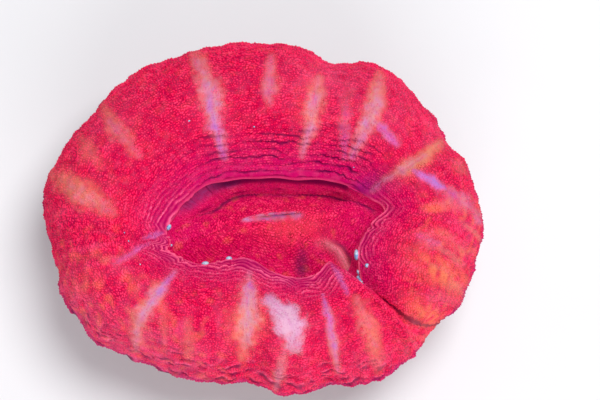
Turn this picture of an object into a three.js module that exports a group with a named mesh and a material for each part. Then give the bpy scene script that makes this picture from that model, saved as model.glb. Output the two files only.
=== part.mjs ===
// A fleshy open brain coral: one polyp swollen over its own stony cup, cut flat underneath.
// Millimetres, +Z up, the front is -Y. The origin is in the cut face, under the middle of the colony.

import * as THREE from "three";

// Heights over the cut face
const CREST_Z = 19.9; // top of the swollen mantle
const LIP_Z = 16.5; // inner edge of the mantle, round the hollow
const DISC_Z = 12.0; // oral disc where it meets the wall
const MOUTH_Z = 14.2; // raised lips of the mouth
const WIDEST_Z = 11.4; // where the mantle reaches furthest out
const HEM_Z = 8.2; // lowest part of the mantle's underside

// The mouth: a slit across the middle of the disc
const MOUTH = { x: 1.1, y: -0.6, halfLength: 2.5, halfWidth: 0.3, turn: 0.1, depth: 1.3 };

// The cut foot of the stony cup
const FOOT = { x: 0, y: -0.2, halfLength: 9.2, halfWidth: 6.4 };

const FIRST_RIB_ANGLE = 0.14; // of the first rib round the mouth
const COLONY_ASPECT = 22 / 18; // length over width, in plan
const POINTS_PER_RIB = 4;
const COSTA_HEIGHT = 0.03; // ridge on the cup, as a share of its radius
const DEFAULT_SHELF = 0.5; // how far the foot of the wall stands inside the lip

// One rib of the mantle runs from the lip of the hollow to the outer edge. shelf is how far the foot of
// the wall stands inside the lip there, sink is how deep the rib lies as a crease, near the lip and
// near the edge, and rise lifts the disc at the foot of the wall.
function rib(lip, edge, { shelf = DEFAULT_SHELF, sink = [0, 0], rise = 0 } = {}) {
  return { lip, edge, shelf, sink, rise };
}

// Counter-clockwise from the right-hand side, seen from above
const RIBS = [
  rib([11.9, -0.6], [21.9, -1.4], { shelf: 0.7, sink: [0.3, 0], rise: 3.2 }),
  rib([10.3, 0.7], [20.8, 4.4], { shelf: 0.8, rise: 2.8 }),
  rib([9.0, 1.5], [18.8, 7.3], { shelf: 0.8, sink: [1.4, 0.9], rise: 1.0 }), // crease at the right shoulder
  rib([8.1, 1.9], [16.5, 10.7]),
  rib([7.1, 2.2], [11.9, 15.1]),
  rib([5.4, 2.4], [7.0, 15.5], { sink: [0, 0.6] }), // small notch at the back
  rib([3.1, 2.5], [3.8, 17.2]),
  rib([0.4, 2.6], [-0.3, 17.8]),
  rib([-2.4, 2.4], [-4.1, 17.6]),
  rib([-4.9, 2.0], [-8.7, 16.2], { shelf: 1.3 }),
  rib([-6.4, 1.2], [-13.6, 14.1], { shelf: 1.9 }),
  rib([-7.6, 0.0], [-17.5, 9.8], { shelf: 1.7, rise: 0.8 }),
  rib([-8.5, -1.3], [-20.6, 6.1], { shelf: 0.8, rise: 2.4 }),
  rib([-9.2, -2.6], [-21.9, 2.3], { shelf: 0.4, rise: 3.4 }),
  rib([-8.9, -3.8], [-21.6, -1.3], { sink: [1.5, 0.7], rise: 3.6 }), // crease at the left end
  rib([-9.2, -4.6], [-20.4, -4.9], { rise: 3.2 }),
  rib([-8.2, -5.4], [-19.1, -8.8], { rise: 1.8 }),
  rib([-6.3, -5.9], [-15.6, -12.7]),
  rib([-4.7, -5.8], [-10.3, -15.1], { sink: [0.3, 0] }),
  rib([-3.0, -5.6], [-5.9, -16.5]),
  rib([-1.2, -5.5], [-1.5, -16.7], { sink: [0, 0.7] }), // small notch at the front
  rib([1.0, -6.7], [2.9, -17.8], { sink: [0.4, 0] }),
  rib([3.5, -7.3], [7.3, -16.9], { sink: [0.4, 0], rise: -0.8 }), // low bay of the disc
  rib([5.4, -6.9], [11.4, -16.4]),
  rib([6.6, -5.8], [14.0, -14.7], { sink: [0, 0.8], rise: 1.4 }), // a fold of the disc joins the lip
  rib([8.1, -7.0], [15.7, -12.9], { sink: [0.3, 0.2], rise: 0.6 }),
  rib([9.6, -8.1], [17.3, -10.7], { shelf: 2.2, sink: [1.6, 2.6] }), // deep cleft beside the right lobe
  rib([9.4, -6.1], [19.3, -9.3], { shelf: 1.0, sink: [0, -0.6], rise: 0.4 }),
  rib([9.5, -4.1], [20.7, -6.5], { sink: [0, -0.3], rise: 1.4 }),
  rib([10.6, -2.2], [21.3, -4.0], { rise: 2.6 }),
];

const AROUND = RIBS.length * POINTS_PER_RIB;

// Sections, each as [place, height over the cut face]. On the disc the place runs from the mouth (0) to
// the foot of the wall (1); on the mantle from the lip (0) to the edge (1); below, from the foot (0) to
// the edge (1). On the wall it is the recess behind the lip, as a share of the way from lip to shelf.
const DISC_SECTION = [
  [0.0, MOUTH_Z],
  [0.08, MOUTH_Z + 0.1],
  [0.25, MOUTH_Z - 0.3],
  [0.5, MOUTH_Z - 1.0],
  [0.75, DISC_Z + 0.4],
  [0.93, DISC_Z],
];
const WALL_SECTION = [
  [1.0, DISC_Z + 0.2],
  [0.35, DISC_Z + 1.7],
  [-0.3, LIP_Z - 1.5],
  [-0.2, LIP_Z - 0.6],
];
const MANTLE_SECTION = [
  [0.0, LIP_Z],
  [0.04, LIP_Z + 0.6],
  [0.12, CREST_Z - 2.0],
  [0.22, CREST_Z - 1.1],
  [0.34, CREST_Z - 0.4],
  [0.47, CREST_Z],
  [0.6, CREST_Z - 0.2],
  [0.72, CREST_Z - 1.1],
  [0.82, CREST_Z - 2.5],
  [0.9, CREST_Z - 4.3],
  [0.96, WIDEST_Z + 2.4],
  [1.0, WIDEST_Z],
];
const UNDER_SECTION = [
  [0.98, WIDEST_Z - 1.4],
  [0.92, HEM_Z + 1.1],
  [0.8, HEM_Z + 0.4],
  [0.67, HEM_Z],
  [0.58, HEM_Z + 0.3],
];
const CUP_SECTION = [
  [0.46, 7.0],
  [0.3, 5.0],
  [0.16, 3.0],
  [0.06, 1.3],
  [0.0, 0.0],
];

const mix = (from, to, share) => from + (to - from) * share;

function between(from, to, share, height) {
  return new THREE.Vector3(mix(from.x, to.x, share), mix(from.y, to.y, share), height);
}

// A point of an ellipse lying in plan, at an angle of its own parameter
function onEllipse({ x, y, halfLength, halfWidth, turn = 0 }, angle, size = 1) {
  const along = halfLength * Math.cos(angle) * size;
  const across = halfWidth * Math.sin(angle) * size;
  const cos = Math.cos(turn);
  const sin = Math.sin(turn);
  return new THREE.Vector2(x + along * cos - across * sin, y + along * sin + across * cos);
}

// The points of each rib in plan: mouth, foot of the wall, lip, edge and cut foot
function ribPlan({ lip, edge, shelf }, index) {
  const lipPoint = new THREE.Vector2(...lip);
  const edgePoint = new THREE.Vector2(...edge);
  const mouthAngle = (2 * Math.PI * index) / RIBS.length + FIRST_RIB_ANGLE;
  const edgeAngle = Math.atan2((edgePoint.y - FOOT.y) * COLONY_ASPECT, edgePoint.x - FOOT.x);
  const mouth = onEllipse(MOUTH, mouthAngle);
  const inward = mouth.clone().sub(lipPoint).setLength(shelf);
  return {
    mouthAngle,
    mouth,
    wallFoot: lipPoint.clone().add(inward),
    lip: lipPoint,
    edge: edgePoint,
    foot: onEllipse(FOOT, edgeAngle),
  };
}

const PLANS = RIBS.map(ribPlan);

// A smooth closed ring through one point on every rib
function ring(pointOnRib) {
  const curve = new THREE.CatmullRomCurve3(RIBS.map(pointOnRib), true);
  return Array.from({ length: AROUND }, (_, step) => curve.getPoint(step / AROUND));
}

function mouthFloorRing() {
  return ring((_, i) => {
    const p = onEllipse(MOUTH, PLANS[i].mouthAngle, 0.6);
    return new THREE.Vector3(p.x, p.y, MOUTH_Z - MOUTH.depth);
  });
}

function discRing([place, height]) {
  return ring(({ rise }, i) => between(PLANS[i].mouth, PLANS[i].wallFoot, place, height + rise * place));
}

function wallRing([place, height]) {
  return ring(({ rise }, i) => {
    const foot = Math.max(place, 0);
    return between(PLANS[i].lip, PLANS[i].wallFoot, place, height + rise * foot * foot);
  });
}

function mantleRing([place, height]) {
  return ring(({ sink }, i) => {
    const depth = mix(sink[0], sink[1], place) * Math.sin(Math.PI * mix(0.12, 0.95, place));
    return between(PLANS[i].lip, PLANS[i].edge, place, height - depth);
  });
}

function underRing([place, height]) {
  return ring((_, i) => between(PLANS[i].foot, PLANS[i].edge, place, height));
}

// The stony cup carries one costa below each rib
function cupRing(section) {
  return underRing(section).map((point, step) => {
    const swell = 1 + COSTA_HEIGHT * Math.cos((2 * Math.PI * step) / POINTS_PER_RIB);
    return new THREE.Vector3(
      FOOT.x + (point.x - FOOT.x) * swell,
      FOOT.y + (point.y - FOOT.y) * swell,
      point.z,
    );
  });
}

// One closed skin: from the middle of the mouth, ring by ring, to the middle of the cut face
function closedSkin(rings, first, last) {
  const points = [first, ...rings.flat(), last];
  const faces = [];
  const at = (ringIndex, step) => 1 + ringIndex * AROUND + (step % AROUND);
  for (let step = 0; step < AROUND; step += 1) {
    faces.push(0, at(0, step), at(0, step + 1));
    for (let k = 0; k + 1 < rings.length; k += 1) {
      faces.push(at(k, step), at(k + 1, step), at(k + 1, step + 1));
      faces.push(at(k, step), at(k + 1, step + 1), at(k, step + 1));
    }
    faces.push(at(rings.length - 1, step), points.length - 1, at(rings.length - 1, step + 1));
  }
  const geometry = new THREE.BufferGeometry().setFromPoints(points);
  geometry.setIndex(faces);
  return geometry;
}

// Brings the middle of the outline over the origin
function centre(geometry) {
  geometry.computeBoundingBox();
  const middle = geometry.boundingBox.getCenter(new THREE.Vector3());
  return geometry.translate(-middle.x, -middle.y, 0);
}

function polyp() {
  const rings = [
    mouthFloorRing(),
    ...DISC_SECTION.map(discRing),
    ...WALL_SECTION.map(wallRing),
    ...MANTLE_SECTION.map(mantleRing),
    ...UNDER_SECTION.map(underRing),
    ...CUP_SECTION.map(cupRing),
  ];
  const mouthFloor = new THREE.Vector3(MOUTH.x, MOUTH.y, MOUTH_Z - MOUTH.depth);
  const cutMiddle = new THREE.Vector3(FOOT.x, FOOT.y, 0);
  const geometry = centre(closedSkin(rings, mouthFloor, cutMiddle));
  geometry.computeVertexNormals();
  const flesh = new THREE.MeshStandardMaterial({ color: 0xe0385c, roughness: 0.55, metalness: 0 });
  const mesh = new THREE.Mesh(geometry, flesh);
  mesh.name = "polyp";
  return mesh;
}

const coral = new THREE.Group();
coral.add(polyp());

export default coral;
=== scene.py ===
import math

import bpy
import numpy as np
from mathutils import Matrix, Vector, noise


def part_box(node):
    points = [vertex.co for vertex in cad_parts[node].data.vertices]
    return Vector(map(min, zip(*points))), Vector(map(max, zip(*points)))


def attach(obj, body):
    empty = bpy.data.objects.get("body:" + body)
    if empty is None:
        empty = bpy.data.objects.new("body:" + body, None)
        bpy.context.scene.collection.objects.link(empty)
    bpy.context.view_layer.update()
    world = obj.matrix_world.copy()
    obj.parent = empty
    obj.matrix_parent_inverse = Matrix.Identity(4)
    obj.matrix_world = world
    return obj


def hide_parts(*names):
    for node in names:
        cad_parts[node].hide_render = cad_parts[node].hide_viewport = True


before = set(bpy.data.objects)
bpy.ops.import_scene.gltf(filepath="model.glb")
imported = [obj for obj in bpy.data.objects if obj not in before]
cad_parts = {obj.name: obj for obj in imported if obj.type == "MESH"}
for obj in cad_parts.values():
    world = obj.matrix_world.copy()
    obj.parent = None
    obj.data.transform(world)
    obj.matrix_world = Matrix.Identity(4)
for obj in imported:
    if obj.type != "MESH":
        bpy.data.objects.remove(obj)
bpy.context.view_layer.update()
mm = 0.001
print("frame loaded")

# Shape of the polyp, in millimetres over the cut face; the front is -Y
polyp = {
    "columns": 660,          # round the colony; the disc, the hem and the cup use half as many
    "discRings": 42,
    "wallRings": 14,
    "mantleRings": 96,
    "hemRings": 16,
    "cupRings": 14,
    "mouth": {"x": 1.1, "y": -0.6, "halfLength": 2.5, "halfWidth": 0.06, "turn": 0.1},
    "foot": {"x": 0.0, "y": -0.2, "halfLength": 9.2, "halfWidth": 6.4, "turn": 0.0},
    "firstRibAngle": 0.14,   # round the mouth
    "colonyAspect": 22 / 18,
    "wallFoot": 12.0,
    "wallHeight": 4.5,
    "ribLength": 14.0,       # of a usual rib
    "edgeRipple": 0.22,
    "seed": 3.7,
}
# Ribs of the mantle, each from the lip of the hollow to the outer edge: ((x, y), (x, y)),
# counter-clockwise from the right
ribs = [
    ((11.9, -0.6), (21.9, -1.4)),
    ((10.3, 0.7), (20.8, 4.4)),
    ((9.0, 1.5), (18.8, 7.3)),
    ((8.1, 1.9), (16.5, 10.7)),
    ((7.1, 2.2), (11.9, 15.1)),
    ((5.4, 2.4), (7.0, 15.5)),
    ((3.1, 2.5), (3.8, 17.2)),
    ((0.4, 2.6), (-0.3, 17.8)),
    ((-2.4, 2.4), (-4.1, 17.6)),
    ((-4.9, 2.0), (-8.7, 16.2)),
    ((-6.4, 1.2), (-13.6, 14.1)),
    ((-7.6, 0.0), (-17.5, 9.8)),
    ((-8.5, -1.3), (-20.6, 6.1)),
    ((-9.2, -2.6), (-21.9, 2.3)),
    ((-8.9, -3.8), (-21.6, -1.3)),
    ((-9.2, -4.6), (-20.4, -4.9)),
    ((-8.2, -5.4), (-19.1, -8.8)),
    ((-6.3, -5.9), (-15.6, -12.7)),
    ((-4.7, -5.8), (-10.3, -15.1)),
    ((-3.0, -5.6), (-5.9, -16.5)),
    ((-1.2, -5.5), (-1.5, -16.7)),
    ((1.0, -6.7), (2.9, -17.8)),
    ((3.5, -7.3), (7.3, -16.9)),
    ((5.4, -6.9), (11.4, -16.4)),
    ((6.6, -5.8), (14.0, -14.7)),
    ((8.1, -7.0), (15.7, -12.9)),
    ((9.6, -8.1), (17.3, -10.7)),
    ((9.4, -6.1), (19.3, -9.3)),
    ((9.5, -4.1), (20.7, -6.5)),
    ((10.6, -2.2), (21.3, -4.0)),
]

# What sets single ribs apart: the usual value, then the ribs that differ
ribTraits = {
    "shelf": (0.5, {0: 0.7, 1: 0.8, 2: 0.8, 9: 1.3, 10: 1.9, 11: 1.7, 12: 0.8, 13: 0.4, 26: 2.2, 27: 1.0}),
    "rise": (0.0, {0: 3.2, 1: 2.8, 2: 1.0, 11: 0.8, 12: 2.4, 13: 3.4, 14: 3.6, 15: 3.2, 16: 1.8, 22: -0.8,
                   24: 1.4, 25: 0.6, 27: 0.4, 28: 1.4, 29: 2.6}),
    "creaseLip": (0.0, {2: 1.5, 14: 1.5, 18: 0.3, 21: 0.4, 22: 0.4, 26: 1.4}),
    "creaseEdge": (0.0, {2: 0.9, 5: 0.6, 14: 0.7, 20: 0.7, 24: 0.9}),
    "tuck": (0.2, {3: 0.35, 4: 0.4, 5: 0.4, 6: 0.4, 7: 0.4, 8: 0.4, 9: 0.3, 0: 0.1, 1: 0.1}),
    "bow": (0.0, {25: 1.2, 26: 2.1, 27: 1.2}),
}

# Sections: disc from mouth (0) to wall foot (1), mantle from lip (0) to edge (1),
# hem and cup from the cut foot (0) to the edge (1); the wall has shelf share, tuck share, height
discSection = [(-0.30, 13.85), (-0.12, 13.95), (0.0, 14.1), (0.04, 14.3), (0.1, 14.25), (0.3, 13.9),
               (0.5, 13.3), (0.75, 12.5), (0.93, 12.05), (1.0, 12.0)]
wallSection = [(0.92, 0.0, 12.3), (0.65, 0.15, 13.1), (0.3, 0.6, 14.2), (0.08, 0.95, 15.2),
               (0.0, 1.0, 15.8), (0.0, 0.7, 16.2), (0.0, 0.25, 16.4)]
mantleSection = [(0.0, 16.5), (0.015, 16.8), (0.05, 17.2), (0.12, 17.9), (0.22, 18.8), (0.34, 19.5),
                 (0.47, 19.85), (0.6, 19.6), (0.72, 18.8), (0.82, 17.5), (0.9, 15.7), (0.96, 13.7),
                 (1.0, 11.4)]
hemSection = [(0.985, 10.2), (0.94, 9.4), (0.86, 8.8), (0.76, 8.4), (0.67, 8.3), (0.6, 8.7), (0.57, 9.2)]
cupSection = [(0.55, 8.8), (0.46, 7.2), (0.38, 6.1), (0.3, 5.0), (0.22, 3.9), (0.15, 2.9), (0.09, 1.8),
              (0.04, 0.8), (0.0, 0.0)]

cleft = {"rib": 26.0, "depth": 1.4, "roll": 0.7, "lean": 0.5}

# A fold of the front wall that runs into the hollow
fingerFold = {"points": [(4.6, -3.2), (6.2, -3.3), (7.5, -4.1), (8.3, -5.4), (9.0, -7.4)],
              "height": 1.6, "easyWidth": 1.2, "steepWidth": 0.4}


def smooth(low, high, value):
    share = np.clip((value - low) / (high - low), 0.0, 1.0)
    return share * share * (3.0 - 2.0 * share)


def hump(value, middle, width):
    return np.exp(-((value - middle) / width) ** 2)


def strongest(*masks):
    return np.max(np.broadcast_arrays(*masks), axis=0)


def lengthOf(steps):
    return np.linalg.norm(steps, axis=-1)


def catmull(before, start, end, after, share):
    return 0.5 * (2 * start + (end - before) * share
                  + (2 * before - 5 * start + 4 * end - after) * share ** 2
                  + (3 * start - before - 3 * end + after) * share ** 3)


# Values between the ribs, on a smooth closed ring
def ringSpline(controls, place):
    controls = np.asarray(controls, float)
    index = np.floor(place).astype(int)
    pick = [controls[(index + step) % len(controls)] for step in (-1, 0, 1, 2)]
    return catmull(*pick, (place - index)[:, None])


# Values along an open section, at even steps over its drawn length
def sectionSpline(points, count):
    points = np.asarray(points, float)
    place = np.linspace(0, 1, count) if np.isscalar(count) else count
    scale = np.ones(points.shape[1])
    scale[:-1] = polyp["ribLength"]
    steps = lengthOf(np.diff(points * scale, axis=0))
    knots = np.concatenate([[0.0], np.cumsum(steps)]) / steps.sum()
    last = len(points) - 1
    index = np.clip(np.searchsorted(knots, place, side="right") - 1, 0, last - 1)
    share = ((place - knots[index]) / (knots[index + 1] - knots[index]))[:, None]
    pick = [points[np.clip(index + step, 0, last)] for step in (-1, 0, 1, 2)]
    return catmull(*pick, share)


def onEllipse(shape, angle):
    along = shape["halfLength"] * np.cos(angle)
    across = shape["halfWidth"] * np.sin(angle)
    turn = shape["turn"]
    x = shape["x"] + along * math.cos(turn) - across * math.sin(turn)
    y = shape["y"] + along * math.sin(turn) + across * math.cos(turn)
    return np.stack([x, y], axis=-1)


# Smooth noise of about -1 to 1 at points given in millimetres
def noiseAt(points, size, shift=0.0):
    flat = np.asarray(points, float).reshape(-1, 3) / size + shift + polyp["seed"]
    values = np.array([noise.noise(Vector(p)) for p in flat.tolist()])
    return values.reshape(np.asarray(points).shape[:-1])


# Noise that is drawn out along the rim: so many features round it, and their size across it
def ringNoise(lay, across, around, size, shift=0.0):
    turn, across = np.broadcast_arrays(lay["turn"], across)
    angle = 2 * math.pi * turn
    radius = around / (2 * math.pi)
    points = np.stack([radius * np.cos(angle), radius * np.sin(angle), across / size], axis=-1)
    return noiseAt(points, 1.0, shift)


# What is known of each column of the skin: its lip, edge, mouth and foot points and its traits
def layOut():
    count = len(ribs)
    place = np.arange(polyp["columns"]) * count / polyp["columns"]
    ribLip, ribEdge = np.asarray(ribs).transpose(1, 0, 2)
    turn = place / count
    lay = {"rib": place, "turn": turn}
    lay["lip"] = ringSpline(ribLip, place)
    lay["edge"] = ringSpline(ribEdge, place)
    for name, (usual, others) in ribTraits.items():
        values = [[others.get(index, usual)] for index in range(count)]
        lay[name] = ringSpline(values, place)[:, 0]
    lay["shelf"] = np.maximum(lay["shelf"], 0.3)
    lay["tuck"] = np.maximum(lay["tuck"], 0.05)
    low, high = [np.array(corner[:2]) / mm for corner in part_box("polyp")]
    lay["shift"] = (low + high) / 2 - (lay["edge"].min(axis=0) + lay["edge"].max(axis=0)) / 2
    outward = (lay["edge"] - lay["lip"]) / lengthOf(lay["edge"] - lay["lip"])[:, None]
    ripple = ringNoise(lay, 0.0, 46, 1.0, 3.0) + 0.5 * ringNoise(lay, 0.0, 110, 1.0, 8.0)
    lay["edge"] = lay["edge"] + outward * (polyp["edgeRipple"] * ripple)[:, None]
    lay["mouth"] = onEllipse(polyp["mouth"], 2 * math.pi * turn + polyp["firstRibAngle"])
    foot = polyp["foot"]
    footAngle = np.unwrap(np.arctan2((ribEdge[:, 1] - foot["y"]) * polyp["colonyAspect"],
                                     ribEdge[:, 0] - foot["x"]))
    steady = 2 * math.pi * np.arange(count) / count
    offset = ringSpline((footAngle - steady)[:, None], place)[:, 0]
    lay["foot"] = onEllipse(foot, offset + 2 * math.pi * turn)
    inward = lay["mouth"] - lay["lip"]
    lay["inward"] = inward / lengthOf(inward)[:, None]
    lay["wallFoot"] = lay["lip"] + lay["inward"] * lay["shelf"][:, None]
    lay["length"] = lengthOf(lay["edge"] - lay["lip"])
    return lay


def flatten(plan, height):
    return np.concatenate([plan, height[..., None]], axis=-1)


def mixPlan(start, end, share):
    return start + (end - start) * share[..., None]


# The first value of a section at every column
def acrossColumns(section):
    return section[:, :1] * np.ones(polyp["columns"])


# Distance from a drawn line, how far along it each point lies (0 to 1), and the distance with its side
def lineDistance(plan, points):
    points = np.asarray(points, float)
    spans = lengthOf(np.diff(points, axis=0))
    starts = np.concatenate([[0.0], np.cumsum(spans)[:-1]])
    best = np.full(plan.shape[:-1], np.inf)
    along = side = np.zeros(plan.shape[:-1])
    for start, end, span, before in zip(points[:-1], points[1:], spans, starts):
        direction = (end - start) / span
        away = plan - start
        reach = np.clip(away @ direction, 0.0, span)
        distance = lengthOf(away - reach[..., None] * direction)
        nearer = distance < best
        best = np.where(nearer, distance, best)
        along = np.where(nearer, (before + reach) / spans.sum(), along)
        turned = away[..., 0] * direction[1] - away[..., 1] * direction[0]
        side = np.where(nearer, np.sign(turned) * distance, side)
    return best, along, side


def fingerLift(plan):
    distance, along, side = lineDistance(plan, fingerFold["points"])
    width = np.where(side > 0, fingerFold["easyWidth"], fingerFold["steepWidth"])
    return fingerFold["height"] * hump(distance, 0.0, width) * smooth(0.0, 0.45, along)


def discGrid(lay):
    section = sectionSpline(discSection, polyp["discRings"])
    share = acrossColumns(section)
    plan = mixPlan(lay["mouth"], lay["wallFoot"], np.maximum(share, 0.0))
    centre = np.array([polyp["mouth"]["x"], polyp["mouth"]["y"]])
    shrink = 1.0 + np.minimum(share, 0.0) * 2.0
    plan = centre + (plan - centre) * shrink[..., None]
    height = section[:, 1:2] + lay["rise"] * smooth(0.2, 1.0, share)
    return flatten(plan, height + fingerLift(plan)), share


def wallGrid(lay):
    section = sectionSpline(wallSection, polyp["wallRings"])
    reach = section[:, 0:1] * lay["shelf"] - section[:, 1:2] * lay["tuck"]
    plan = lay["lip"] + lay["inward"] * reach[..., None]
    level = (section[:, 2:3] - polyp["wallFoot"]) / polyp["wallHeight"]
    height = section[:, 2:3] + (lay["rise"] + fingerLift(plan)) * (1 - level)
    return flatten(plan, height), level * np.ones_like(reach)


# The right lobe rolls over the cleft: steep on the lobe's side, easy on the other
def cleftShape(rib, share):
    offset = (rib - cleft["rib"]) * np.ones_like(share)
    easy = hump(offset, 0.0, 0.8)
    steep = 1.0 - smooth(0.0, 0.25, offset)
    reach = smooth(0.04, 0.32, share)
    down = cleft["depth"] * np.where(offset < 0, easy, steep) * reach
    up = cleft["roll"] * hump(offset, 0.75, 0.5) * reach
    crinkle = 1.0 + 0.35 * noiseAt(np.stack([share * 16, offset, 0 * share], axis=-1), 1.0, 51.0)
    lean = cleft["lean"] * crinkle * smooth(0.02, 0.25, offset) * (1.0 - smooth(0.3, 1.5, offset)) * reach
    return up - down, lean


def mantleGrid(lay):
    even = np.linspace(0, 1, polyp["mantleRings"])
    closer = 0.55 * even + 0.45 * even ** 1.8    # closer rings near the lip
    section = sectionSpline(mantleSection, closer)
    share = acrossColumns(section)
    plan = mixPlan(lay["lip"], lay["edge"], share)
    plan[..., 1] -= lay["bow"] * np.sin(math.pi * np.clip(share, 0, 1) ** 1.8)
    arch = np.sin(math.pi * (0.12 + 0.83 * share))
    crease = (lay["creaseLip"] * (1 - share) + lay["creaseEdge"] * share) * arch
    lift, lean = cleftShape(lay["rib"], share)
    aside = np.roll(plan, 1, axis=1) - np.roll(plan, -1, axis=1)
    plan = plan + aside / lengthOf(aside)[..., None] * lean[..., None]
    height = section[:, 1:2] - crease + lift * (1 - 0.5 * smooth(0.9, 1.0, share))
    return flatten(plan, height), share


def underGrid(lay, points, rings):
    section = sectionSpline(points, rings)
    share = acrossColumns(section)
    return flatten(mixPlan(lay["foot"], lay["edge"], share), section[:, 1:2] * np.ones_like(share)), share


# Unit normals of a grid of points, rings by columns, closed along the columns
def gridNormals(grid):
    around = np.roll(grid, -1, axis=1) - np.roll(grid, 1, axis=1)
    normal = np.cross(np.gradient(grid, axis=0), around)
    return normal / np.maximum(lengthOf(normal), 1e-9)[..., None]


# Marks are laid out as seen from 14 degrees in front of straight above, about a point this high
markTip = math.radians(14)
markHeight = 11.0


def tippedPlan(grid):
    y = grid[..., 1] * math.cos(markTip) + (grid[..., 2] - markHeight) * math.sin(markTip)
    return np.stack([grid[..., 0], y], axis=-1)


# Steep rise, then a long easy fall: one overlapping fold per unit of phase
def foldShape(phase):
    share = phase - np.floor(phase)
    return smooth(0.0, 0.22, share) * (1.0 - share) ** 0.8


def creaseMask(phase):
    share = phase - np.floor(phase)
    return 1.0 - smooth(0.06, 0.24, np.minimum(share, 1.0 - share))


def lineShape(phase):
    return hump(phase - np.floor(phase), 0.5, 0.14)


# Tissue stretched pale over the septa: points (x, y), half width, strength, warmth (0 lavender,
# 1 yellow), whiteness
stretches = [
    ([(-6.5, 15.8), (-5.2, 13.0), (-4.7, 10.1), (-3.7, 6.0)], 1.30, 0.9, 0.35, 0.0),
    ([(0.9, 15.6), (0.7, 11.2)], 0.90, 0.6, 0.4, 0.0),
    ([(5.5, 13.5), (4.9, 9.5), (3.9, 6.0)], 1.10, 0.8, 0.6, 0.0),
    ([(8.1, 11.4), (8.1, 5.8)], 0.90, 0.35, 0.4, 0.0),
    ([(11.6, 13.9), (10.9, 10.5), (8.9, 6.0)], 1.25, 0.85, 0.5, 0.0),
    ([(10.7, 9.7), (13.1, 7.1)], 0.75, 0.65, 0.0, 0.0),
    ([(17.8, 7.6), (15.4, 5.6), (12.2, 3.8), (10.8, 2.7)], 0.80, 0.8, 0.7, 0.0),
    ([(14.7, 4.5), (16.3, 3.6), (17.9, 2.8)], 0.62, 1.0, -0.2, 0.0),
    ([(16.8, 3.1), (19.2, 1.8), (21.4, 0.5)], 0.90, 0.55, 0.1, 0.0),
    ([(-20.8, 4.3), (-17.5, 2.4), (-14.5, 0.6)], 1.40, 0.6, 0.65, 0.0),
    ([(-16.0, 11.2), (-13.6, 8.0), (-11.9, 6.0)], 1.00, 0.5, 0.6, 0.0),
    ([(-17.8, 7.8), (-15.6, 5.1)], 1.00, 0.35, 0.8, 0.0),
    ([(-8.3, -5.3), (-10.3, -7.6), (-11.7, -9.8), (-12.1, -12.6)], 0.90, 0.9, 0.3, 0.0),
    ([(-11.4, -2.0), (-9.6, -1.5)], 0.50, 0.6, 0.0, 0.0),
    ([(-13.9, -4.4), (-10.8, -2.4)], 0.60, 0.45, 0.1, 0.0),
    ([(-9.1, -8.1), (-9.3, -11.8)], 0.60, 0.3, 0.8, 0.0),
    ([(-6.9, -9.6), (-7.1, -13.7)], 0.75, 0.35, 0.8, 0.0),
    ([(-1.1, -5.6), (-1.2, -8.4), (-1.5, -12.9)], 1.40, 1.0, 0.5, 0.0),
    ([(0.9, -7.9), (2.4, -9.3), (3.3, -10.7), (3.1, -12.0)], 1.60, 1.0, 0.1, 1.0),
    ([(2.2, -12.9), (1.4, -16.4)], 0.70, 0.6, 0.3, 0.3),
    ([(5.9, -7.4), (6.7, -10.4), (7.4, -14.8)], 0.58, 0.8, 0.1, 0.0),
    ([(6.8, -4.6), (7.6, -5.8), (8.3, -7.2)], 0.55, 0.5, 0.0, 0.0),
    ([(9.2, -7.6), (10.4, -10.9), (11.4, -14.6)], 1.10, 0.55, 0.7, 0.0),
    ([(14.9, -1.6), (17.4, -2.8)], 0.90, 0.4, 0.3, 0.0),
    ([(17.2, -2.2), (20.6, -3.4)], 0.70, 0.3, 0.9, 0.0),
    ([(18.6, 5.6), (20.2, 4.4)], 0.70, 0.3, 0.5, 0.0),
    ([(20.9, 0.4), (21.6, -0.6)], 0.80, 0.5, 0.0, 0.2),
]

# Soft patches on the skin: centre x, y, half length, half width, turn, strength
flushes = [                                      # orange
    (17.4, -5.3, 3.2, 1.3, -0.6, 0.95),
    (16.2, -9.4, 2.4, 1.2, -0.7, 0.9),
    (14.6, -8.5, 1.6, 0.9, -0.7, 0.35),
    (-16.9, -6.4, 1.6, 1.0, 0.3, 0.4),
    (-17.6, 2.8, 3.2, 1.2, -0.5, 0.4),
    (15.6, 5.4, 2.4, 0.8, 0.7, 0.5),
    (-2.4, -10.5, 1.0, 2.2, 0.0, 0.4),
    (0.2, -9.5, 0.8, 2.2, 0.0, 0.3),
    (4.4, 11.0, 1.0, 2.2, -0.1, 0.3),
    (3.0, -1.0, 3.0, 1.4, 0.1, 0.2),
]
veils = [                                        # thin milky pink
    (6.6, 13.1, 5.0, 2.6, -0.2, 0.7),
    (13.0, 11.0, 3.4, 3.0, -0.8, 0.5),
    (17.0, 8.2, 3.0, 2.4, -0.8, 0.5),
    (-14.6, 9.0, 4.0, 2.0, 0.9, 0.4),
    (-10.6, -12.4, 6.0, 2.4, -0.5, 0.9),
    (10.6, -14.2, 3.5, 2.0, 0.2, 0.5),
    (20.0, -2.0, 4.0, 1.8, -1.3, 0.5),
    (-17.5, -5.0, 3.0, 2.0, 0.4, 0.3),
    (-14.2, -11.6, 2.8, 1.6, -0.7, 0.8),
]


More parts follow.
